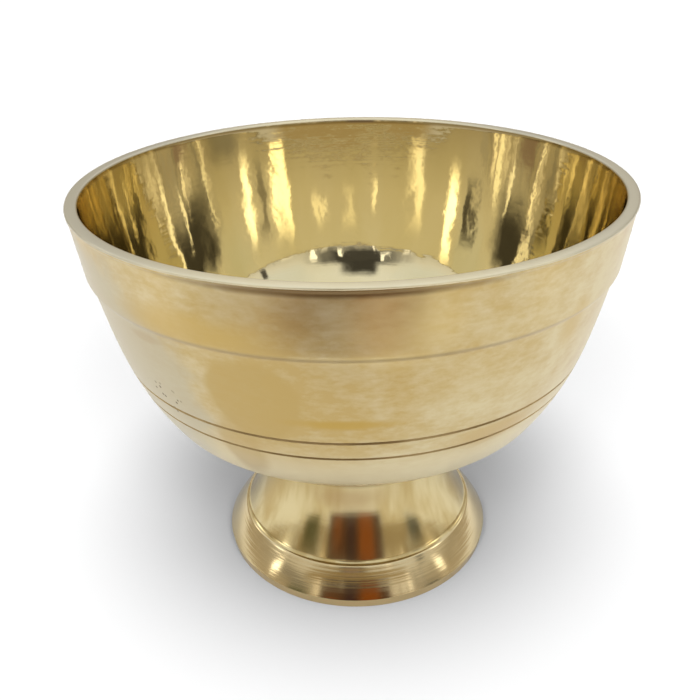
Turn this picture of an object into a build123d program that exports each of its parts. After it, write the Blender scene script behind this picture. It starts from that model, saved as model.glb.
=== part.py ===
"""Offering bowl: a turned brass cup brazed onto a hollow turned brass foot.

Millimetres, +Z up, with the origin on the table under the middle of the foot.
Each profile is drawn as radius and height in the XZ plane, then turned about Z.
"""
import os
from math import cos, radians, sin

from build123d import *

# Overall size
rim_radius = 60.0  # outer edge of the lip
bowl_height = 56.6  # seat on the foot to the flat top of the lip
foot_height = 37.0  # table to the seat

# Lip
lip_width = 2.5  # flat top, from the inside of the bowl to the outer edge
lip_height = 0.7  # thickness of the outer edge
lip_overhang = 0.3  # how far the lip stands out over the band
lip_undercut = 0.4  # height of the slope under the lip
lip_bevel = 0.4  # on both edges of the flat top

# Plain band under the lip, ending in a small sloping step
band_depth = 13.1  # top of the lip to the lower edge of the band
band_taper = 1.5  # how much the band narrows on its way down
step_height = 2.1
step_inset = 1.05

# Bowl wall, which turns under at the belly; a fullness is the share of a curve's own drop
# or reach over which it keeps the direction of its end
wall = 2.1
wall_lean = 12.0  # degrees inward from the vertical, just under the step
wall_draw = 11.27  # how far the wall narrows from the step to the belly
wall_fullness = 0.4
belly_height = 8.6  # above the seat
belly_lean = 32.8  # degrees inward from the vertical
belly_fullness = 0.35
underside_rise = 13.0  # degrees above the horizontal, where the wall meets the seat
underside_fullness = 0.6
mouth_lean = 7.0  # degrees, of the inside just under the lip
mouth_run = 1.5  # straight stretch under the lip
floor_thickness = 5.0  # middle of the bowl, down to the end of the spigot
underside_shares = (1.0, 0.4)  # shares of the underside, from belly to seat, with one wall of metal
wall_shares = (0.8, 0.4)  # the same on the wall, from the step to the belly

# Scored rings on the outside
first_ring = 19.2  # distance down the wall from the step
ring_pitch = 4.9  # from one ring to the next
ring_depth = 0.35

# Joint between bowl and foot
neck_top_radius = 24.0
socket_wall = 4.9  # metal round the socket in the top of the foot
spigot_clearance = 0.1
spigot_length = 4.0
socket_spare = 1.0  # how much deeper the socket is than the spigot is long
braze_leg = 2.0  # reach of the braze along the bowl and along the neck
braze_sag = 0.15  # how hollow its face is

# Foot
base_radius = 33.4
base_ring = 3.2  # width of the flat ring that stands on the table, with its bevel
base_bevel = 0.3
base_edge_height = 2.3
base_edge_flare = 0.3  # how far the edge widens over that height
ridge_height = 8.7
ridge_inset = 4.5  # from the widest edge in to the ridge
ridge_shelf = 0.8  # width of the shelf on the ridge
ridge_shelf_rise = 0.35
band_swell = 0.45  # how far the sloping band swells out of a straight line
foot_wall = 2.6
neck_flare = 30.0  # degrees outward from the vertical, just above the ridge
waist_drop = 12.0  # seat to the waist, the narrowest part of the neck
waist_draw = 1.4  # how far the neck draws in from its top to its waist
neck_top_flare = 16.0  # degrees outward from the vertical, at the top


def leaning(angle):
    """Unit direction that points up and leans outward by an angle from the vertical."""
    return Vector(sin(radians(angle)), cos(radians(angle)))


def right_of(direction):
    """Unit direction a quarter turn to the right: towards the axis, where a wall goes down."""
    return Vector(direction.Y, -direction.X)


def at_length(curve, distance):
    """Point on a curve at a distance along it from its start."""
    return curve.position_at(distance, position_mode=PositionMode.LENGTH)


def one_wall_inside(curve, share):
    """Point on the inside of the bowl, opposite the point at a share of an outside curve."""
    return curve @ share + right_of(curve % share) * wall


def swollen(start, end, swell):
    """Middle control point of a curve that swells to the right of the line from start to end."""
    return (start + end) / 2 + right_of((end - start).normalized()) * swell * 2


# Outside of the bowl, from the lip down to the seat
height = foot_height + bowl_height
lip_inside = Vector(rim_radius - lip_width, height)
mouth_start = lip_inside - leaning(mouth_lean) * mouth_run
lip_lower = Vector(rim_radius, height - lip_height)
band_top = Vector(rim_radius - lip_overhang, lip_lower.Y - lip_undercut)
band_bottom = Vector(band_top.X - band_taper, height - band_depth)
wall_top = Vector(band_bottom.X - step_inset, band_bottom.Y - step_height)
seat_edge = Vector(neck_top_radius, foot_height)
belly = Vector(wall_top.X - wall_draw, seat_edge.Y + belly_height)
wall_handle = (wall_top.Y - belly.Y) * wall_fullness
belly_handle = belly_height / cos(radians(belly_lean)) * belly_fullness
underside_handle = (belly.X - seat_edge.X) * underside_fullness

# Spigot under the bowl and the socket that it stands in
socket_radius = neck_top_radius - socket_wall
socket_end = foot_height - spigot_length - socket_spare
spigot_radius = socket_radius - spigot_clearance
spigot_end = foot_height - spigot_length
floor_middle = Vector(0, spigot_end + floor_thickness)

with BuildPart() as bowl:
    with BuildSketch(Plane.XZ):
        with BuildLine():
            Polyline(
                mouth_start,
                lip_inside,
                (rim_radius, height),
                lip_lower,
                band_top,
                band_bottom,
                wall_top,
            )
            wall_curve = Bezier(
                wall_top,
                wall_top - leaning(wall_lean) * wall_handle,
                belly + leaning(belly_lean) * wall_handle,
                belly,
            )
            underside_curve = Bezier(
                belly,
                belly - leaning(belly_lean) * belly_handle,
                seat_edge + leaning(90 - underside_rise) * underside_handle,
                seat_edge,
            )
            Polyline(
                seat_edge,
                (spigot_radius, foot_height),
                (spigot_radius, spigot_end),
                (0, spigot_end),
                floor_middle,
            )
            Spline(
                floor_middle,
                *(one_wall_inside(underside_curve, share) for share in underside_shares),
                *(one_wall_inside(wall_curve, share) for share in wall_shares),
                mouth_start,
                tangents=((1, 0), leaning(mouth_lean)),
            )
        make_face()
    revolve(axis=Axis.Z)
    chamfer(bowl.edges().filter_by(GeomType.CIRCLE).group_by(Axis.Z)[-1], length=lip_bevel)
    with BuildSketch(Plane.XZ):
        for distance in (first_ring, first_ring + ring_pitch):
            with Locations(at_length(wall_curve, distance)):
                RegularPolygon(radius=ring_depth, side_count=4)
    revolve(axis=Axis.Z, mode=Mode.SUBTRACT)

# Outside of the foot, from the table up to the seat
base_edge = Vector(base_radius + base_edge_flare, base_edge_height)
ridge = Vector(base_edge.X - ridge_inset, ridge_height)
neck_foot = Vector(ridge.X - ridge_shelf, ridge_height + ridge_shelf_rise)
waist = Vector(neck_top_radius - waist_draw, foot_height - waist_drop)
base_inside = Vector(base_radius - base_ring, 0)
neck_down = leaning(-neck_flare) * -1
neck_inside = neck_foot + right_of(neck_down) * foot_wall
waist_inside = waist - Vector(foot_wall, 0)

with BuildPart() as foot:
    with BuildSketch(Plane.XZ):
        with BuildLine():
            Polyline(base_inside, (base_radius, 0), base_edge)
            Bezier(base_edge, swollen(base_edge, ridge, band_swell), ridge)
            Line(ridge, neck_foot)
            neck_curve = Spline(
                neck_foot,
                waist,
                seat_edge,
                tangents=(leaning(-neck_flare), leaning(neck_top_flare)),
            )
            Polyline(seat_edge, (socket_radius, foot_height), (socket_radius, socket_end))
            Spline(
                (socket_radius, socket_end),
                waist_inside,
                neck_inside,
                tangents=((0, -1), neck_down),
            )
            Line(neck_inside, base_inside)
        make_face()
    revolve(axis=Axis.Z)
    base_circles = foot.edges().filter_by(GeomType.CIRCLE).group_by(Axis.Z)[0]
    chamfer(base_circles.sort_by(SortBy.RADIUS)[-1], length=base_bevel)

# Braze, in the corner between the underside of the bowl and the top of the neck
braze_high = at_length(underside_curve, underside_curve.length - braze_leg)
braze_low = at_length(neck_curve, neck_curve.length - braze_leg)
braze_root = wall / 2

with BuildPart() as braze_ring:
    with BuildSketch(Plane.XZ):
        with BuildLine():
            Bezier(braze_high, swollen(braze_high, braze_low, braze_sag), braze_low)
            Polyline(
                braze_low,
                braze_low - Vector(braze_root, 0),
                seat_edge + Vector(-braze_root, braze_root),
                braze_high + Vector(0, braze_root),
                braze_high,
            )
        make_face()
    revolve(axis=Axis.Z)
    add(bowl.part, mode=Mode.SUBTRACT)
    add(foot.part, mode=Mode.SUBTRACT)

bowl.part.label = "bowl"
foot.part.label = "foot"
braze_ring.part.label = "braze_ring"

os.makedirs("parts", exist_ok=True)
export_step(bowl.part, "parts/bowl.step")
export_step(foot.part, "parts/foot.step")
export_step(braze_ring.part, "parts/braze_ring.step")
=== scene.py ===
from math import cos, pi, radians, sin, tan

import bpy
import numpy as np
from mathutils import Matrix, Vector


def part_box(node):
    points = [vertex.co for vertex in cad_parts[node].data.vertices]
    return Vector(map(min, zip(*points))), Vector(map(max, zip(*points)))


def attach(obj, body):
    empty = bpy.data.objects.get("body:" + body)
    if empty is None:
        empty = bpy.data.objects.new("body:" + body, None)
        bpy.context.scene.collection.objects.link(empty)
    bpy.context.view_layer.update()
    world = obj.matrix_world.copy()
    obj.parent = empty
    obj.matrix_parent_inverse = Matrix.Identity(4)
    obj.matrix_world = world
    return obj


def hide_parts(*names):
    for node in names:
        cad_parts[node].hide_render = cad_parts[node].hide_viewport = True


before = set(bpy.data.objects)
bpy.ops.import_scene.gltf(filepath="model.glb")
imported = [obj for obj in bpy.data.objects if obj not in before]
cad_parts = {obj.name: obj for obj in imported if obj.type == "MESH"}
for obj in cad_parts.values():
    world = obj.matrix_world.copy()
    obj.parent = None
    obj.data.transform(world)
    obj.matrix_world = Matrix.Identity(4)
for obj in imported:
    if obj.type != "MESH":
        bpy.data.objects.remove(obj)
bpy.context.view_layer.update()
scene = bpy.context.scene

# Sizes in metres. What the frame knows is read from it, and the rest repeats the solids.
MM = 0.001
bowl_low, bowl_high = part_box("bowl")
foot_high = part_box("foot")[1]
RIM_RADIUS = bowl_high.x
RIM_HEIGHT = bowl_high.z
SPIGOT_END = bowl_low.z
SEAT_HEIGHT = foot_high.z
BASE_EDGE_RADIUS = foot_high.x

# Bowl
LIP_WIDTH = 2.5 * MM
LIP_HEIGHT = 0.7 * MM
LIP_OVERHANG = 0.3 * MM
LIP_UNDERCUT = 0.4 * MM
LIP_ROUNDING = 0.45 * MM
UNDERCUT_ROUNDING = 0.2 * MM
BAND_DEPTH = 13.1 * MM
BAND_TAPER = 1.5 * MM
STEP_HEIGHT = 2.1 * MM
STEP_INSET = 1.05 * MM
STEP_FULLNESS = 0.45
WALL = 2.1 * MM
WALL_LEAN = 12.0
WALL_DRAW = 11.27 * MM
WALL_FULLNESS = 0.4
BELLY_HEIGHT = 8.6 * MM
BELLY_LEAN = 32.8
BELLY_FULLNESS = 0.35
UNDERSIDE_RISE = 13.0
UNDERSIDE_FULLNESS = 0.6
MOUTH_LEAN = 7.0
MOUTH_RUN = 1.5 * MM
FLOOR_THICKNESS = 5.0 * MM
UNDERSIDE_SHARES = (1.0, 0.4)
WALL_SHARES = (0.8, 0.4)
RING_DISTANCES = (19.2 * MM, 24.1 * MM)
RING_DEPTH = 0.35 * MM

# Joint and foot
NECK_TOP_RADIUS = 24.0 * MM
SOCKET_RADIUS = 19.1 * MM
SOCKET_END = 32.0 * MM
SPIGOT_RADIUS = 19.0 * MM
BRAZE_LEG = 2.0 * MM
BRAZE_SAG = 0.15 * MM
BASE_EDGE_FLARE = 0.3 * MM
BASE_EDGE_HEIGHT = 2.3 * MM
BASE_RING = 3.2 * MM
BASE_ROUNDING = 0.3 * MM
RIDGE_HEIGHT = 8.7 * MM
RIDGE_INSET = 4.5 * MM
RIDGE_SHELF = 0.8 * MM
RIDGE_SHELF_RISE = 0.35 * MM
RIDGE_ROUNDING = 0.25 * MM
SHELF_ROUNDING = 0.7 * MM
BAND_SWELL = 0.15 * MM
FOOT_WALL = 2.6 * MM
NECK_FLARE = 30.0
WAIST_DROP = 12.0 * MM
WAIST_DRAW = 1.4 * MM
NECK_TOP_FLARE = 16.0

# Meshes
SEGMENTS = 320
SAME_POINT = 0.0001 * MM
SHARP_ANGLE = 35


# Profiles, as rows of radius and height

def at(radius, height):
    return np.array((radius, height), float)


def leaning(degrees):
    """Unit direction that points up and leans outward by an angle from the vertical."""
    return at(sin(radians(degrees)), cos(radians(degrees)))


def unit(vector):
    return vector / np.linalg.norm(vector)


def right_of(direction):
    """The direction a quarter turn to the right: towards the axis, where a wall goes down."""
    return at(direction[1], -direction[0])


def bezier(*controls, steps=24):
    """Points on the curve with these control points."""
    share = np.linspace(0, 1, steps + 1)[:, None]
    layers = [np.repeat(c[None], steps + 1, axis=0) for c in controls]
    while len(layers) > 1:
        layers = [a * (1 - share) + b * share for a, b in zip(layers, layers[1:])]
    return layers[0]


def through(points, start, end, steps=24):
    """Smooth curve through the points that leaves and arrives in the given directions."""
    points = np.array(points)
    gaps = np.linalg.norm(np.diff(points, axis=0), axis=1)
    count = len(points)
    system = np.zeros((count, count))
    wanted = np.zeros((count, 2))
    system[0, 0] = system[-1, -1] = 1
    wanted[0], wanted[-1] = start, end
    for i in range(1, count - 1):
        before, after = gaps[i - 1], gaps[i]
        system[i, i - 1:i + 2] = after, 2 * (before + after), before
        wanted[i] = 3 * (
            (points[i] - points[i - 1]) * after / before + (points[i + 1] - points[i]) * before / after
        )
    slopes = np.linalg.solve(system, wanted)
    spans = [
        bezier(a, a + da * gap / 3, b - db * gap / 3, b, steps=steps)[:-1]
        for a, b, da, db, gap in zip(points, points[1:], slopes, slopes[1:], gaps)
    ]
    return np.vstack(spans + [points[-1:]])


def straight(a, b, steps=1):
    return bezier(a, b, steps=steps)


def corner(before, point, after, cut, steps=5):
    """A corner rounded over a distance each way."""
    start = point + unit(before - point) * cut
    end = point + unit(after - point) * cut
    return bezier(start, point, end, steps=steps)


def swollen(start, end, swell):
    """Middle control point of a curve that swells to the right of the line from start to end."""
    return (start + end) / 2 + right_of(unit(end - start)) * swell * 2


def travelled(curve):
    """Distance of each point of a row from its start."""
    return np.concatenate(([0], np.cumsum(np.linalg.norm(np.diff(curve, axis=0), axis=1))))


def length_of(curve):
    return travelled(curve)[-1]


def point_at_length(curve, distance):
    """Point on a row of points at a distance from its start."""
    return at(*(np.interp(distance, travelled(curve), curve[:, axis]) for axis in (0, 1)))


def between_lengths(curve, start, end):
    """The part of a row of points between two distances from its start."""
    distances = travelled(curve)
    kept = curve[(distances > start) & (distances < end)]
    return np.vstack((point_at_length(curve, start), kept, point_at_length(curve, end)))


# Outside of the bowl
lip_inside = at(RIM_RADIUS - LIP_WIDTH, RIM_HEIGHT)
lip_outside = at(RIM_RADIUS, RIM_HEIGHT)
lip_lower = at(RIM_RADIUS, RIM_HEIGHT - LIP_HEIGHT)
mouth_start = lip_inside - leaning(MOUTH_LEAN) * MOUTH_RUN
band_top = at(RIM_RADIUS - LIP_OVERHANG, lip_lower[1] - LIP_UNDERCUT)
band_bottom = at(band_top[0] - BAND_TAPER, RIM_HEIGHT - BAND_DEPTH)
wall_top = at(band_bottom[0] - STEP_INSET, band_bottom[1] - STEP_HEIGHT)
seat_edge = at(NECK_TOP_RADIUS, SEAT_HEIGHT)
belly = at(wall_top[0] - WALL_DRAW, SEAT_HEIGHT + BELLY_HEIGHT)
step_handle = STEP_HEIGHT * STEP_FULLNESS
wall_handle = (wall_top[1] - belly[1]) * WALL_FULLNESS
belly_handle = BELLY_HEIGHT / cos(radians(BELLY_LEAN)) * BELLY_FULLNESS
underside_handle = (belly[0] - seat_edge[0]) * UNDERSIDE_FULLNESS

step_curve = bezier(
    band_bottom,
    band_bottom + unit(band_bottom - band_top) * step_handle,
    wall_top + leaning(WALL_LEAN) * step_handle,
    wall_top,
    steps=14,
)
wall_curve = bezier(
    wall_top,
    wall_top - leaning(WALL_LEAN) * wall_handle,
    belly + leaning(BELLY_LEAN) * wall_handle,
    belly,
    steps=50,
)
underside_curve = bezier(
    belly,
    belly - leaning(BELLY_LEAN) * belly_handle,
    seat_edge + leaning(90 - UNDERSIDE_RISE) * underside_handle,
    seat_edge,
    steps=40,
)


def one_wall_inside(curve, share):
    """Point on the inside of the bowl, opposite the point at a share of an outside curve."""
    index = round(share * (len(curve) - 1))
    low, high = max(index - 1, 0), min(index + 1, len(curve) - 1)
    return curve[index] + right_of(unit(curve[high] - curve[low])) * WALL


floor_middle = at(0, SPIGOT_END + FLOOR_THICKNESS)
inside_curve = through(
    [floor_middle]
    + [one_wall_inside(underside_curve, share) for share in UNDERSIDE_SHARES]
    + [one_wall_inside(wall_curve, share) for share in WALL_SHARES]
    + [mouth_start],
    at(1, 0),
    leaning(MOUTH_LEAN),
)


def bowl_outside():
    """Stretches of the outside from the step to the seat, with the scored rings cut in."""
    stretches = []
    inward = right_of(unit(belly - wall_top))
    start = 0.0
    for distance in RING_DISTANCES:
        plain = between_lengths(wall_curve, start, distance - RING_DEPTH)
        start = distance + RING_DEPTH
        bottom = point_at_length(wall_curve, distance) + inward * RING_DEPTH
        ring = np.vstack((plain[-1], bottom, point_at_length(wall_curve, start)))
        stretches += [("outside", plain), ("ring", ring)]
    stretches.append(("outside", between_lengths(wall_curve, start, length_of(wall_curve))))
    stretches.append(("outside", underside_curve))
    return stretches


bowl_profile = [
    ("inside", inside_curve),
    ("inside", straight(mouth_start, lip_inside + unit(mouth_start - lip_inside) * LIP_ROUNDING)),
    ("lip", corner(mouth_start, lip_inside, lip_outside, LIP_ROUNDING)),
    ("lip", corner(lip_inside, lip_outside, lip_lower, LIP_ROUNDING)),
    ("outside", corner(lip_outside, lip_lower, band_top, UNDERCUT_ROUNDING)),
    ("outside", corner(lip_lower, band_top, band_bottom, UNDERCUT_ROUNDING)),
    ("outside", straight(band_top + unit(band_bottom - band_top) * UNDERCUT_ROUNDING, band_bottom, steps=10)),
    ("outside", step_curve),
    *bowl_outside(),
    ("outside", straight(seat_edge, at(SPIGOT_RADIUS, SEAT_HEIGHT))),
    ("outside", straight(at(SPIGOT_RADIUS, SEAT_HEIGHT), at(SPIGOT_RADIUS, SPIGOT_END))),
    ("outside", straight(at(SPIGOT_RADIUS, SPIGOT_END), at(0, SPIGOT_END))),
]

# Foot
base_radius = BASE_EDGE_RADIUS - BASE_EDGE_FLARE
base_inside = at(base_radius - BASE_RING, 0)
base_outside = at(base_radius, 0)
base_edge = at(BASE_EDGE_RADIUS, BASE_EDGE_HEIGHT)
ridge = at(base_edge[0] - RIDGE_INSET, RIDGE_HEIGHT)
neck_foot = at(ridge[0] - RIDGE_SHELF, RIDGE_HEIGHT + RIDGE_SHELF_RISE)
waist = at(NECK_TOP_RADIUS - WAIST_DRAW, SEAT_HEIGHT - WAIST_DROP)
neck_down = -leaning(-NECK_FLARE)
neck_inside = neck_foot + right_of(neck_down) * FOOT_WALL
waist_inside = waist - at(FOOT_WALL, 0)
socket_top = at(SOCKET_RADIUS, SEAT_HEIGHT)
socket_bottom = at(SOCKET_RADIUS, SOCKET_END)
neck_curve = through(
    [neck_foot, waist, seat_edge], leaning(-NECK_FLARE), leaning(NECK_TOP_FLARE), steps=30
)
sloping_band = bezier(base_edge, swollen(base_edge, ridge, BAND_SWELL), ridge, steps=24)
shelf_curve = bezier(
    ridge + unit(neck_foot - ridge) * RIDGE_ROUNDING,
    neck_foot,
    point_at_length(neck_curve, SHELF_ROUNDING),
    steps=10,
)

foot_profile = [
    ("base", straight(base_inside, base_outside - at(BASE_ROUNDING, 0))),
    ("base", corner(base_inside, base_outside, base_edge, BASE_ROUNDING)),
    ("base", straight(base_outside + unit(base_edge - base_outside) * BASE_ROUNDING, base_edge)),
    ("band", between_lengths(sloping_band, 0, length_of(sloping_band) - RIDGE_ROUNDING)),
    ("band", corner(sloping_band[-2], ridge, neck_foot, RIDGE_ROUNDING)),
    ("neck", shelf_curve),
    ("neck", between_lengths(neck_curve, SHELF_ROUNDING, length_of(neck_curve))),
    ("neck", straight(seat_edge, socket_top)),
    ("base", straight(socket_top, socket_bottom)),
    ("base", through([socket_bottom, waist_inside, neck_inside], at(0, -1), neck_down)),
    ("base", straight(neck_inside, base_inside)),
]

# Braze in the corner between bowl and foot
braze_high = point_at_length(underside_curve, length_of(underside_curve) - BRAZE_LEG)
braze_low = point_at_length(neck_curve, length_of(neck_curve) - BRAZE_LEG)
braze_profile = [
    ("braze", bezier(braze_high, swollen(braze_high, braze_low, BRAZE_SAG), braze_low, steps=8)),
    ("braze", straight(braze_low, seat_edge)),
    ("braze", straight(seat_edge, braze_high)),
]


# Turned meshes

# Upright waves inside the bowl: count round it, phase, depth, sway and length of the sway
RIPPLES = (
    (9, 0.4, 0.050 * MM, 0.35, 40 * MM),
    (17, 2.1, 0.034 * MM, 0.35, 31 * MM),
    (29, 4.0, 0.020 * MM, 0.80, 23 * MM),
    (53, 1.3, 0.013 * MM, 0.90, 11 * MM),
)
SWAY_PHASE = 1.7
RIPPLE_FADE = 0.5


def ripple(angles, heights):
    """Depth of the gentle waves that the polishing left inside the bowl."""
    total = np.zeros((len(heights), len(angles)))
    for count, phase, depth, sway, length in RIPPLES:
        drift = sway * np.sin(heights * 2 * pi / length + phase * SWAY_PHASE)[:, None]
        total += depth * np.sin(count * angles[None] + phase + drift)
    return total


def linked(name, data):
    """New object in the scene."""
    thing = bpy.data.objects.new(name, data)
    scene.collection.objects.link(thing)
    return thing


def turned(name, profile, materials, rippled=None):
    """Mesh turned about Z from a profile, with one material for each kind of stretch."""
    kinds = list(materials)
    points = [profile[0][1][0]]
    stretch_of = []
    for kind, stretch in profile:
        for point in stretch:
            if np.linalg.norm(point - points[-1]) > SAME_POINT:
                points.append(point)
                stretch_of.append(kind)
    closed = np.linalg.norm(points[-1] - points[0]) < SAME_POINT
    if closed:
        points.pop()
    points = np.array(points)
    angles = np.arange(SEGMENTS) * 2 * pi / SEGMENTS
    radii = np.repeat(points[:, :1], SEGMENTS, axis=1)
    if rippled:
        inside = np.array([kind == rippled for kind in stretch_of + stretch_of[-1:]])
        share = np.clip(np.cumsum(inside) / inside.sum(), 0, 1)
        fade = np.where(inside, np.sin(pi * share) ** RIPPLE_FADE, 0)
        radii += ripple(angles, points[:, 1]) * fade[:, None] * (points[:, :1] > 0)
    vertices = []
    rings = []
    for point, row in zip(points, radii):
        first = len(vertices)
        if point[0] < SAME_POINT:
            vertices.append((0, 0, point[1]))
            rings.append([first] * SEGMENTS)
        else:
            vertices += [(r * cos(a), r * sin(a), point[1]) for r, a in zip(row, angles)]
            rings.append(list(range(first, first + SEGMENTS)))
    faces = []
    face_kinds = []
    pairs = list(zip(rings, rings[1:] + (rings[:1] if closed else [])))
    for (lower, upper), kind in zip(pairs, stretch_of):
        for i in range(SEGMENTS):
            j = (i + 1) % SEGMENTS
            loop = [lower[i], upper[i], upper[j], lower[j]]
            faces.append(list(dict.fromkeys(loop)))
            face_kinds.append(kinds.index(kind))
    mesh = bpy.data.meshes.new(name)
    mesh.from_pydata(vertices, [], faces)
    for kind in kinds:
        mesh.materials.append(materials[kind])
    mesh.polygons.foreach_set("material_index", face_kinds)
    mesh.polygons.foreach_set("use_smooth", [True] * len(faces))
    mesh.update()
    mesh.set_sharp_from_angle(angle=radians(SHARP_ANGLE))
    return linked(name, mesh)


# Materials

# Colour sockets of a mix node, which share their names with its sockets for numbers
MIX_FIRST, MIX_SECOND, MIX_RESULT = 6, 7, 2


class Nodes:
    """A new material, with a few short calls for the nodes that it needs."""

    def __init__(self, name):
        self.material = bpy.data.materials.new(name)
        self.material.use_nodes = True
        self.tree = self.material.node_tree
        self.place = self.add("ShaderNodeTexCoord").outputs["Object"]

    def add(self, kind, **settings):
        node = self.tree.nodes.new(kind)
        for key, value in settings.items():
            setattr(node, key, value)
        return node

    def feed(self, socket, value):
        """Link another node's output to a socket, or write a plain value there."""
        if isinstance(value, bpy.types.NodeSocket):
            self.tree.links.new(value, socket)
        else:
            socket.default_value = value

    def set(self, node, **values):
        for key, value in values.items():
            self.feed(node.inputs[key.replace("_", " ")], value)

    def along(self, axis):
        """Place along X, Y or Z."""
        parts = self.add("ShaderNodeSeparateXYZ")
        self.feed(parts.inputs[0], self.place)
        return parts.outputs[axis]

    def maths(self, operation, first, second=0.0):
        node = self.add("ShaderNodeMath", operation=operation)
        self.feed(node.inputs[0], first)
        self.feed(node.inputs[1], second)
        return node.outputs[0]

    def spread(self, value, low, high, to_low=0.0, to_high=1.0):
        """Smooth step of a value from one range to another."""
        node = self.add("ShaderNodeMapRange", interpolation_type="SMOOTHSTEP")
        self.set(node, Value=value, From_Min=low, From_Max=high, To_Min=to_low, To_Max=to_high)
        return node.outputs["Result"]


class Metal(Nodes):
    """Brass whose colour, roughness and relief change from place to place."""

    def __init__(self, name):
        super().__init__(name)
        self.shader = self.tree.nodes["Principled BSDF"]
        self.set(self.shader, Metallic=1.0)

    def noise(self, scale, stretch=(1, 1, 1), detail=4.0, roughness=0.55, distortion=0.0):
        """Cloud with features of about 1 / scale metres, drawn out along each axis by stretch."""
        mapping = self.add("ShaderNodeMapping")
        self.set(mapping, Vector=self.place, Scale=[1 / s for s in stretch])
        cloud = self.add("ShaderNodeTexNoise")
        self.set(cloud, Vector=mapping.outputs[0], Scale=scale, Detail=detail)
        self.set(cloud, Roughness=roughness, Distortion=distortion)
        return cloud.outputs["Fac"]

    def mix(self, share, first, second):
        """Blend of two colours, each a row of three numbers or an output of another node."""
        node = self.add("ShaderNodeMix", data_type="RGBA")
        self.set(node, Factor=share)
        for socket, colour in ((MIX_FIRST, first), (MIX_SECOND, second)):
            self.feed(node.inputs[socket], (*colour, 1) if isinstance(colour, tuple) else colour)
        return node.outputs[MIX_RESULT]

    def clouds(self, share, dark, light, roughness):
        """Finish of two colours that run into each other."""
        self.set(self.shader, Base_Color=self.mix(share, dark, light), Roughness=roughness)

    def wobble(self, scale, reach, detail=4.0):
        """Irregularity for the edge of a patch."""
        return self.maths("MULTIPLY", self.maths("SUBTRACT", self.noise(scale, detail=detail), 0.5), reach)

    def azimuth(self):
        """Degrees from the front, + to the right."""
        towards = self.maths("MULTIPLY", self.along("Y"), -1.0)
        return self.maths("MULTIPLY", self.maths("ARCTAN2", self.along("X"), towards), 180 / pi)

    def patch(self, azimuth, height, half_width, half_height, edge, wobble):
        """Round patch with a soft edge: place and size in degrees round the axis and in height."""
        across = self.maths("DIVIDE", self.maths("SUBTRACT", self.azimuth(), azimuth), half_width)
        upward = self.maths("DIVIDE", self.maths("SUBTRACT", self.along("Z"), height), half_height)
        squares = self.maths("ADD", self.maths("POWER", across, 2.0), self.maths("POWER", upward, 2.0))
        distance = self.maths("ADD", self.maths("SQRT", squares), wobble)
        return self.spread(distance, 1 - edge, 1 + edge, to_low=1.0, to_high=0.0)

    def lathe_lines(self, scale, depth, drawn_out=40, chatter=0.0):
        """Fine rings that the turning tool left, a little broken up round the piece."""
        relief = self.noise(scale, stretch=(drawn_out, drawn_out, 1), detail=3.0)
        if chatter:
            broken = self.maths("MULTIPLY", self.noise(scale, detail=1.0), chatter)
            relief = self.maths("ADD", relief, broken)
        bump = self.add("ShaderNodeBump")
        self.set(bump, Height=relief, Strength=1.0, Distance=depth)
        self.set(self.shader, Normal=bump.outputs[0])


# Colours of the satin outside
SATIN = (0.52, 0.375, 0.15)
PALE = (0.655, 0.56, 0.34)
# Painted sheen: paler metal low down, standing in for the bright floor that the outside reflects
LOW_SHEEN = (0.85, 0.75, 0.49)
GREY = (0.49, 0.45, 0.335)
GOLDEN = (0.55, 0.385, 0.13)
BROWN = (0.42, 0.28, 0.13)
BLOTCH = (0.50, 0.355, 0.13)
DRIP = (0.50, 0.35, 0.13)
STREAK = (0.50, 0.33, 0.08)
LOW_STAIN = (0.54, 0.38, 0.15)
RUBBED = (0.74, 0.57, 0.25)
# Painted shade: a dark line under the lip
UNDER_LIP_SHADE = (0.18, 0.11, 0.045)
# Painted shade: a darker line along the step
STEP_SHADE = (0.36, 0.26, 0.11)
PIT = (0.16, 0.11, 0.05)
# Painted shade under the belly, where the bowl meets the foot
UNDERSIDE_SHADE = (0.20, 0.13, 0.05)

# Colours of the other stretches: dark and light, and what lies over them
POLISHED = (0.81, 0.715, 0.465)
POLISHED_DEEP = (0.77, 0.668, 0.395)
MOUTH_EDGE = (0.30, 0.21, 0.07)
LIP_DARK = (0.77, 0.68, 0.44)
LIP_LIGHT = (0.85, 0.775, 0.57)
LIP_SIDES = (0.57, 0.53, 0.41)
RING_DARK = (0.30, 0.21, 0.095)
RING_LIGHT = (0.54, 0.40, 0.20)
NECK_DARK = (0.50, 0.37, 0.155)
NECK_LIGHT = (0.66, 0.55, 0.30)
# Painted reflection: a darker patch in front of the neck
NECK_FRONT_REFLECTION = (0.38, 0.25, 0.11)
# Painted shade at the top of the neck, under the bowl
NECK_TOP_SHADE = (0.22, 0.15, 0.06)
BAND_DARK = (0.60, 0.47, 0.25)
BAND_LIGHT = (0.68, 0.56, 0.33)
BASE_DARK = (0.62, 0.46, 0.22)
BASE_LIGHT = (0.70, 0.52, 0.26)
BRAZE_DARK = (0.26, 0.17, 0.07)
BRAZE_LIGHT = (0.40, 0.28, 0.12)

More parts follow.
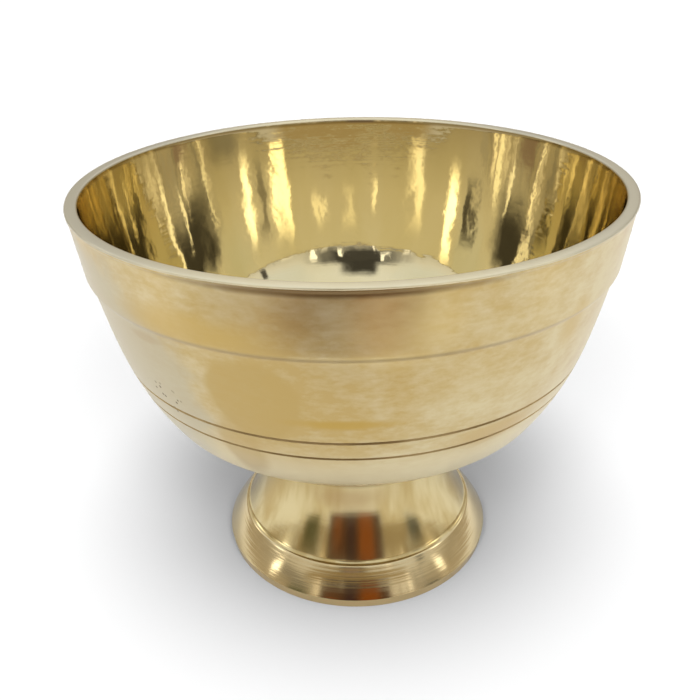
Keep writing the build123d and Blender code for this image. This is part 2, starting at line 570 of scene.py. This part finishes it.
# Marks on the outside: azimuth, height, half width, half height, softness, colour and strength
MARKS = (
    (-66.0, 66 * MM, 35.0, 26 * MM, 0.16, GREY, 0.62),
    (-42.0, 77 * MM, 4.0, 1.0 * MM, 0.5, BROWN, 0.35),
    (-29.0, 82.7 * MM, 14.0, 3.2 * MM, 0.6, GOLDEN, 0.75),
    (-19.5, 69 * MM, 9.5, 9.0 * MM, 0.13, BLOTCH, 0.85),
    (-25.0, 55 * MM, 5.0, 8.0 * MM, 0.3, DRIP, 0.6),
    (-2.0, 64.7 * MM, 9.0, 1.1 * MM, 0.6, STREAK, 0.85),
    (44.5, 78 * MM, 3.5, 5.0 * MM, 0.6, GOLDEN, 0.6),
    (31.0, 56.5 * MM, 9.0, 2.6 * MM, 0.4, LOW_STAIN, 0.7),
    (-14.0, 89 * MM, 9.0, 5.0 * MM, 0.7, BROWN, 0.25),
    (7.0, 87 * MM, 8.0, 7.0 * MM, 0.7, RUBBED, 0.7),
    # Painted shade under the lip, in the middle of the front
    (-3.0, 92.5 * MM, 22.0, 0.8 * MM, 0.6, UNDER_LIP_SHADE, 0.9),
    # Painted shade along the step
    (-5.0, 79.6 * MM, 66.0, 0.5 * MM, 0.8, STEP_SHADE, 0.5),
)

# Where finishes, the painted sheen and the painted shade change: heights, or distances to the side
PALER_FROM, PALER_TO = -20 * MM, 50 * MM
SHEEN_FULL_BELOW, SHEEN_GONE_ABOVE = 48 * MM, 60 * MM
SHADED_BELOW, UNSHADED_ABOVE = 42.2 * MM, 43.6 * MM
MOUTH_EDGE_FROM, MOUTH_EDGE_TO = RIM_HEIGHT - 1.6 * MM, RIM_HEIGHT - 0.7 * MM
LIP_SIDES_FROM, LIP_SIDES_TO = 15 * MM, 48 * MM
NECK_SHADE_FROM, NECK_SHADE_TO = 26 * MM, 27.4 * MM

# How much each kind of mottling counts on the outside, and the strength of the painted dark reflection on the
# neck
BROAD_SHARE = 0.5
FINE_SHARE = 0.45
GRAIN_SHARE = 0.28
FRONT_REFLECTION_STRENGTH = 0.6


def satin_brass():
    """Outside of the bowl: handled, cloudy and a little tarnished, with a painted paler sheen low down, and
    painted shade under the lip, along the step and under the belly.
    """
    m = Metal("brass_satin")
    broad = m.spread(m.noise(scale=38, distortion=0.8), low=0.35, high=0.65)
    fine = m.noise(scale=230, stretch=(1.4, 1.4, 0.9), detail=6.0, roughness=0.7)
    fine = m.spread(fine, low=0.33, high=0.67)
    grain = m.noise(scale=900, stretch=(2.5, 2.5, 0.9), detail=2.0)
    grain = m.spread(grain, low=0.3, high=0.7, to_low=-0.5, to_high=0.5)
    cloud = m.maths("ADD", m.maths("MULTIPLY", broad, BROAD_SHARE), m.maths("MULTIPLY", fine, FINE_SHARE))
    cloud = m.maths("ADD", cloud, m.maths("MULTIPLY", grain, GRAIN_SHARE))
    paler_right = m.spread(m.along("X"), PALER_FROM, PALER_TO, to_low=-0.25, to_high=0.35)
    colour = m.mix(m.maths("ADD", cloud, paler_right), SATIN, PALE)
    # Paler towards the bottom: a painted sheen of the bright floor
    low_sheen = m.spread(m.along("Z"), SHEEN_FULL_BELOW, SHEEN_GONE_ABOVE, to_low=0.66, to_high=0.0)
    colour = m.mix(low_sheen, colour, LOW_SHEEN)
    wobble = m.wobble(scale=110, reach=0.5, detail=3.0)
    for azimuth, height, half_width, half_height, edge, tint, strength in MARKS:
        patch = m.patch(azimuth, height, half_width, half_height, edge, wobble)
        colour = m.mix(m.maths("MULTIPLY", patch, strength), colour, tint)
    specks = m.add("ShaderNodeTexVoronoi")
    m.set(specks, Vector=m.place, Scale=620.0)
    pits = m.spread(specks.outputs["Distance"], low=0.16, high=0.24, to_low=1.0, to_high=0.0)
    pitted = m.patch(
        azimuth=-43.0, height=62 * MM, half_width=5.0, half_height=3.5 * MM, edge=0.4, wobble=wobble
    )
    colour = m.mix(m.maths("MULTIPLY", pits, pitted), colour, PIT)
    # Darker under the belly, near the foot: painted shade
    underside = m.spread(m.along("Z"), SHADED_BELOW, UNSHADED_ABOVE, to_low=0.85, to_high=0.0)
    colour = m.mix(underside, colour, UNDERSIDE_SHADE)
    roughness = m.spread(cloud, low=0.0, high=1.0, to_low=0.30, to_high=0.38)
    m.set(m.shader, Base_Color=colour, Roughness=roughness)
    m.lathe_lines(scale=900, depth=0.015 * MM)
    return m.material


def lip_brass():
    """Flat lip, greyer at the sides."""
    m = Metal("brass_lip")
    colour = m.mix(m.noise(scale=150), LIP_DARK, LIP_LIGHT)
    sides = m.spread(m.maths("ABSOLUTE", m.along("X")), LIP_SIDES_FROM, LIP_SIDES_TO)
    m.clouds(sides, colour, LIP_SIDES, roughness=0.3)
    m.lathe_lines(scale=900, depth=0.01 * MM)
    return m.material


def polished_brass():
    """Inside of the bowl, with a darker edge under the lip."""
    m = Metal("brass_polished")
    cloud = m.spread(m.noise(scale=40, stretch=(1, 1, 3)), low=0.3, high=0.7)
    colour = m.mix(cloud, POLISHED, POLISHED_DEEP)
    edge = m.spread(m.along("Z"), MOUTH_EDGE_FROM, MOUTH_EDGE_TO, to_low=0.0, to_high=0.75)
    m.clouds(edge, colour, MOUTH_EDGE, roughness=0.05)
    m.lathe_lines(scale=480, depth=0.014 * MM, chatter=0.9)
    return m.material


def ring_brass():
    """Dirt in the scored rings."""
    m = Metal("brass_rings")
    cloud = m.spread(m.noise(scale=60), low=0.35, high=0.65)
    m.clouds(cloud, RING_DARK, RING_LIGHT, roughness=0.5)
    return m.material


def neck_brass():
    """Neck of the foot, with a painted dark reflection in front and painted shade at the top, under the bowl.
    """
    m = Metal("brass_neck")
    streaks = m.spread(m.noise(scale=150, stretch=(1, 1, 8), detail=3.0), low=0.35, high=0.65)
    colour = m.mix(streaks, NECK_DARK, NECK_LIGHT)
    wobble = m.wobble(scale=200, reach=0.6)
    # Darker patch in front of the neck: a painted dark reflection
    front_reflection = m.patch(
        azimuth=-4.0, height=23.6 * MM, half_width=18.0, half_height=2.6 * MM, edge=0.8, wobble=wobble
    )
    colour = m.mix(m.maths("MULTIPLY", front_reflection, FRONT_REFLECTION_STRENGTH), colour, NECK_FRONT_REFLECTION)
    # Darker at the top of the neck, under the bowl: painted shade
    top = m.spread(m.along("Z"), NECK_SHADE_FROM, NECK_SHADE_TO, to_low=0.0, to_high=0.75)
    m.clouds(top, colour, NECK_TOP_SHADE, roughness=0.16)
    m.lathe_lines(scale=700, depth=0.012 * MM)
    return m.material


def band_brass():
    """Sloping band of the foot, where the turning lines are deepest."""
    m = Metal("brass_band")
    cloud = m.spread(m.noise(scale=80, detail=3.0), low=0.3, high=0.7)
    m.clouds(cloud, BAND_DARK, BAND_LIGHT, roughness=0.14)
    m.lathe_lines(scale=1300, depth=0.05 * MM, drawn_out=300)
    return m.material


def base_brass():
    """Base edge and the inside of the foot."""
    m = Metal("brass_base")
    m.clouds(m.noise(scale=70), BASE_DARK, BASE_LIGHT, roughness=0.3)
    return m.material


def braze_brass():
    """Dull brazing metal."""
    m = Metal("brass_braze")
    m.clouds(m.noise(scale=400), BRAZE_DARK, BRAZE_LIGHT, roughness=0.4)
    return m.material


bowl_piece = turned(
    "bowl_turned",
    bowl_profile,
    {"inside": polished_brass(), "lip": lip_brass(), "outside": satin_brass(), "ring": ring_brass()},
    rippled="inside",
)
foot_piece = turned(
    "foot_turned",
    foot_profile,
    {"base": base_brass(), "band": band_brass(), "neck": neck_brass()},
)
braze_piece = turned("braze_turned", braze_profile, {"braze": braze_brass()})

for piece, node, slot in (
    (bowl_piece, "bowl", "bowl_brass"),
    (foot_piece, "foot", "foot_brass"),
    (braze_piece, "braze_ring", "braze_brass"),
):
    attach(piece, "root")
    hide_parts(node)


# Stage: white floor, white surroundings and soft cards that the metal reflects

CARD_DISTANCE = 1.2
AIM = Vector((0, 0, 0.07))
CARD_SOFTNESS = 0.7


class Glow(Nodes):
    """A material that gives light and takes none."""

    def __init__(self, name):
        super().__init__(name)
        self.tree.nodes.remove(self.tree.nodes["Principled BSDF"])
        self.light = self.add("ShaderNodeEmission")

    def show(self, shader):
        self.set(self.tree.nodes["Material Output"], Surface=shader)
        return self.material


def emitter(name, colour, strength, soft):
    """Card that glows, or is dark, and fades out towards its edges."""
    g = Glow(name)
    g.set(g.light, Color=(*colour, 1), Strength=strength)
    across, upward = (
        g.spread(g.maths("ABSOLUTE", g.along(axis)), low=1 - soft, high=1, to_low=1, to_high=0)
        for axis in "XY"
    )
    mixed = g.add("ShaderNodeMixShader")
    g.feed(mixed.inputs[0], g.maths("MULTIPLY", across, upward))
    g.feed(mixed.inputs[1], g.add("ShaderNodeBsdfTransparent").outputs[0])
    g.feed(mixed.inputs[2], g.light.outputs[0])
    return g.show(mixed.outputs[0])


def square(name, material):
    """Flat square: its own X and Y run from -1 to 1."""
    mesh = bpy.data.meshes.new(name)
    mesh.from_pydata([(-1, -1, 0), (1, -1, 0), (1, 1, 0), (-1, 1, 0)], [], [(0, 1, 2, 3)])
    mesh.materials.append(material)
    return linked(name, mesh)


def only_in_reflections(piece):
    """Shown by the metal alone: no part of the picture's background, light or shadow."""
    piece.visible_camera = False
    piece.visible_diffuse = False
    piece.visible_shadow = False
    piece.visible_transmission = False


def sheet(name, place, half_width, half_height, material):
    """Flat card at a place."""
    piece = square(name, material)
    piece.matrix_world = place @ Matrix.Diagonal((half_width, half_height, 1, 1))
    only_in_reflections(piece)


def card(name, azimuth, elevation, width, height, strength, colour):
    """Card round the bowl: azimuth from the front, + to the right, and sizes in degrees."""
    a, e = radians(azimuth), radians(elevation)
    direction = Vector((sin(a) * cos(e), -cos(a) * cos(e), sin(e)))
    place = Matrix.Translation(AIM + direction * CARD_DISTANCE)
    turn = direction.to_track_quat("Z", "Y").to_matrix().to_4x4()
    half_width = CARD_DISTANCE * tan(radians(width / 2))
    half_height = CARD_DISTANCE * tan(radians(height / 2))
    sheet(name, place @ turn, half_width, half_height, emitter(name, colour, strength, CARD_SOFTNESS))


LAMP = (1.0, 0.98, 0.93)
SHADE = (1.0, 0.95, 0.88)
SKY = (0.92, 0.96, 1.0)
# Name, azimuth, elevation, width, height, brightness and colour
CARDS = (
    ("sky_left", -50, 36, 40, 26, 0.9, SKY),
    ("sky_right", 50, 36, 40, 26, 0.9, SKY),
    ("lamp_behind", -177, 28, 10, 8, 1.3, LAMP),
    ("lamp_far_left", -147, 28, 10, 7, 1.6, LAMP),
    ("lamp_left", -110, 23, 13, 22, 3.2, LAMP),
    ("lamp_left_front", -78, 25, 13, 17, 3.2, LAMP),
    ("lamp_right_front", 79, 28, 13, 19, 4.0, LAMP),
    ("lamp_right", 115, 24, 15, 18, 1.9, LAMP),
    ("lamp_far_right", 158, 26, 9, 7, 1.9, LAMP),
    ("dim_left", -94, 25, 9, 16, 0.34, SHADE),
    ("dim_low_left", -58, 14, 44, 9, 0.34, SHADE),
    ("dark_right", 58, 26, 9, 13, 0.10, SHADE),
    ("dark_front", -5, 31.5, 30, 29, 0.06, SHADE),
    ("dark_front_wide", -4, 25.5, 70, 18, 0.07, SHADE),
)
for name, azimuth, elevation, width, height, strength, colour in CARDS:
    card(name, azimuth, elevation, width, height, strength, colour)

# Upright strips in front, light and dark by turns, so that the polished metal shows streaks
STRIP_SEED = 7
STRIPS_FROM, STRIPS_TO = -40.0, 52
STRIP_ELEVATION = 14
STRIP_WIDTHS = (1.5, 4.5)
STRIP_HEIGHTS = (12, 18)
STRIP_GAPS = (0.5, 3.0)
STRIP_STRENGTHS = (0.35, 0.5, 1.1, 1.9)
strips = np.random.default_rng(STRIP_SEED)
azimuth = STRIPS_FROM
while azimuth < STRIPS_TO:
    width = strips.uniform(*STRIP_WIDTHS)
    height = strips.uniform(*STRIP_HEIGHTS)
    strength = strips.choice(STRIP_STRENGTHS)
    azimuth += width + strips.uniform(*STRIP_GAPS)
    card(f"strip_{azimuth:.0f}", azimuth, STRIP_ELEVATION, width, height, strength, SHADE)

# Upright cards close to the bowl: place, half width, half height, brightness, colour and softness
CLOSE = (
    ("front_dim", (-0.020, -0.192, 0.124), 0.034, 0.018, 0.33, (1.0, 0.78, 0.72), 0.5),
    ("glint_left", (-0.140, -0.063, 0.036), 0.035, 0.012, 4.0, LAMP, 0.6),
    ("glint_right", (0.138, -0.063, 0.036), 0.035, 0.012, 2.8, LAMP, 0.6),
    ("front_gold", (-0.010, -0.193, 0.105), 0.200, 0.015, 0.42, (1.0, 0.75, 0.36), 0.3),
    ("front_light", (0.024, -0.188, 0.153), 0.008, 0.014, 1.8, LAMP, 0.5),
    ("right_light", (0.095, -0.188, 0.155), 0.012, 0.030, 1.8, LAMP, 0.5),
    ("left_light", (-0.088, -0.188, 0.168), 0.010, 0.020, 1.5, LAMP, 0.5),
    ("low_brown", (-0.0075, -0.151, 0.024), 0.080, 0.036, 0.10, (1.0, 0.46, 0.20), 0.22),
    ("low_orange", (0.021, -0.1495, 0.028), 0.025, 0.040, 0.30, (1.0, 0.27, 0.01), 0.55),
    ("low_red", (-0.052, -0.1495, 0.021), 0.021, 0.031, 0.26, (1.0, 0.33, 0.08), 0.8),
    ("low_purple", (-0.016, -0.149, 0.029), 0.014, 0.043, 0.05, (1.0, 0.42, 0.55), 0.8),
    ("low_green", (-0.158, -0.150, 0.024), 0.060, 0.034, 0.14, (0.90, 1.0, 0.55), 0.6),
    ("low_grey", (0.235, -0.150, 0.022), 0.090, 0.032, 0.09, (0.80, 1.0, 1.05), 0.7),
)
for name, place, half_width, half_height, strength, colour, soft in CLOSE:
    upright = Matrix.Translation(place) @ Matrix.Rotation(pi / 2, 4, "X")
    sheet(name, upright, half_width, half_height, emitter(name, colour, strength, soft))

# Grey room round the table, warmer low down
ROOM_RADIUS = 2.5
ROOM_ROWS = 24
ROOM_COLUMNS = 48
# Elevation and colour
ROOM_COLOURS = (
    (3, (0.62, 0.56, 0.46)),
    (14, (0.50, 0.45, 0.37)),
    (20, (0.68, 0.65, 0.58)),
    (26, (0.84, 0.82, 0.78)),
    (40, (0.92, 0.94, 0.97)),
)


def room_grey():
    """Grey that changes with the height."""
    g = Glow("room_grey")
    ramp = g.add("ShaderNodeValToRGB")
    stops = ramp.color_ramp.elements
    stops.remove(stops[-1])
    for elevation, colour in ROOM_COLOURS:
        stop = stops.new(sin(radians(elevation)))
        stop.color = (*colour, 1)
    stops.remove(stops[0])
    g.set(ramp, Fac=g.along("Z"))
    g.set(g.light, Color=ramp.outputs["Color"])
    return g.show(g.light.outputs[0])


def make_room():
    """Half a sphere of unit radius, scaled up."""
    columns = range(ROOM_COLUMNS)
    circle = [2 * pi * i / ROOM_COLUMNS for i in columns]
    vertices = [(0, 0, 1)]
    for k in range(1, ROOM_ROWS + 1):
        slope = pi / 2 * k / ROOM_ROWS
        vertices += [(sin(slope) * cos(a), sin(slope) * sin(a), cos(slope)) for a in circle]
    faces = [(0, 1 + i, 1 + (i + 1) % ROOM_COLUMNS) for i in columns]
    for k in range(ROOM_ROWS - 1):
        upper = 1 + ROOM_COLUMNS * k
        lower = upper + ROOM_COLUMNS
        for i in columns:
            j = (i + 1) % ROOM_COLUMNS
            faces.append((upper + i, lower + i, lower + j, upper + j))
    mesh = bpy.data.meshes.new("room")
    mesh.from_pydata(vertices, [], faces)
    mesh.materials.append(room_grey())
    room = linked("room", mesh)
    room.scale = (ROOM_RADIUS,) * 3
    only_in_reflections(room)


make_room()

FLOOR_SIZE = 8.0
FLOOR_WHITE = (0.95, 0.95, 0.95)
floor_white = Nodes("floor_white")
floor_shader = floor_white.tree.nodes["Principled BSDF"]
floor_white.set(floor_shader, Base_Color=(*FLOOR_WHITE, 1), Roughness=1.0, Specular_IOR_Level=0.0)
floor = square("floor", floor_white.material)
floor.scale = (FLOOR_SIZE / 2, FLOOR_SIZE / 2, 1)

# White surroundings for the camera and the metal, and a dimmer sky that lights the floor
SKY_LIGHT = 0.33
world = bpy.data.worlds.new("white_surroundings")
scene.world = world
world.use_nodes = True
world_nodes, world_links = world.node_tree.nodes, world.node_tree.links
background = world_nodes["Background"]
background.inputs["Color"].default_value = (1, 1, 1, 1)
path = world_nodes.new("ShaderNodeLightPath")
seen = path.outputs["Is Camera Ray"]
for ray in ("Is Glossy Ray", "Is Transmission Ray"):
    either = world_nodes.new("ShaderNodeMath")
    either.operation = "MAXIMUM"
    world_links.new(seen, either.inputs[0])
    world_links.new(path.outputs[ray], either.inputs[1])
    seen = either.outputs[0]
level = world_nodes.new("ShaderNodeMapRange")
world_links.new(seen, level.inputs["Value"])
level.inputs["To Min"].default_value = SKY_LIGHT
level.inputs["To Max"].default_value = 1.0
world_links.new(level.outputs["Result"], background.inputs["Strength"])

# Soft lamps: azimuth, elevation, energy and angular size
LAMPS = (
    ("overhead", 0, 79, 1.6, 28),
    ("front_left", -24, 36, 0.85, 20),
    ("front_right", 24, 36, 0.85, 20),
)
for name, azimuth, elevation, energy, size in LAMPS:
    lamp_data = bpy.data.lights.new(name, "SUN")
    lamp_data.energy = energy
    lamp_data.angle = radians(size)
    lamp = linked(name, lamp_data)
    lamp.visible_glossy = False
    lamp.rotation_euler = (radians(90 - elevation), 0, radians(azimuth))

# Camera, as the photograph was taken: lengths of the lens in millimetres, and angles in radians
SENSOR = 36.0
FOCAL_LENGTH = 41.49
NEAR_LIMIT = 0.01
EYE = Vector((0, -0.17257, 0.14303))
PITCH = 0.4906
YAW = -0.0060
ROLL = -0.0215
camera_data = bpy.data.cameras.new("camera")
camera_data.sensor_width = SENSOR
camera_data.lens = FOCAL_LENGTH
camera_data.clip_start = NEAR_LIMIT
camera = linked("camera", camera_data)
forward = Vector((sin(YAW) * cos(PITCH), cos(YAW) * cos(PITCH), -sin(PITCH)))
level_right = Vector((cos(YAW), -sin(YAW), 0))
level_up = level_right.cross(forward)
right = level_right * cos(ROLL) + level_up * sin(ROLL)
up = level_up * cos(ROLL) - level_right * sin(ROLL)
camera.matrix_world = Matrix.Translation(EYE) @ Matrix((right, up, -forward)).transposed().to_4x4()
scene.camera = camera

# Polished metal mirrors itself several times
scene.view_settings.view_transform = "Standard"
scene.cycles.max_bounces = 16
scene.cycles.glossy_bounces = 12
scene.cycles.caustics_reflective = False
